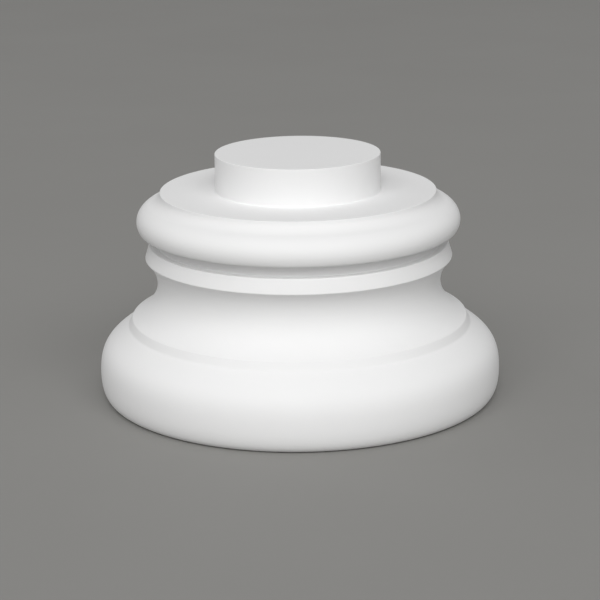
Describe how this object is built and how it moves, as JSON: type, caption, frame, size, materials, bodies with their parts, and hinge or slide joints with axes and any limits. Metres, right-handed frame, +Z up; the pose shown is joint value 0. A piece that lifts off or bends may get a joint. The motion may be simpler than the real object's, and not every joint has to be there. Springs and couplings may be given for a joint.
{
  "type": "column base",
  "caption": "Round column base in the Attic manner: a wide lower torus, a hollow scotia with a sharp lip, an upper torus, a flat seat for the shaft and a low centring spigot.",
  "frame": {"origin": "middle of the flat underside, which rests on the plinth or floor", "axes": "+Z up along the column's axis, from the underside to the top of the spigot; X and Y are level and alike, because the part is round"},
  "size_m": [0.4, 0.4, 0.2433],
  "materials": {
    "white_moulding": "smooth white primed moulding, satin-matt, with a faint fine grain"
  },
  "bodies": {
    "root": {"column_base": "white_moulding"}
  },
  "joints": []
}
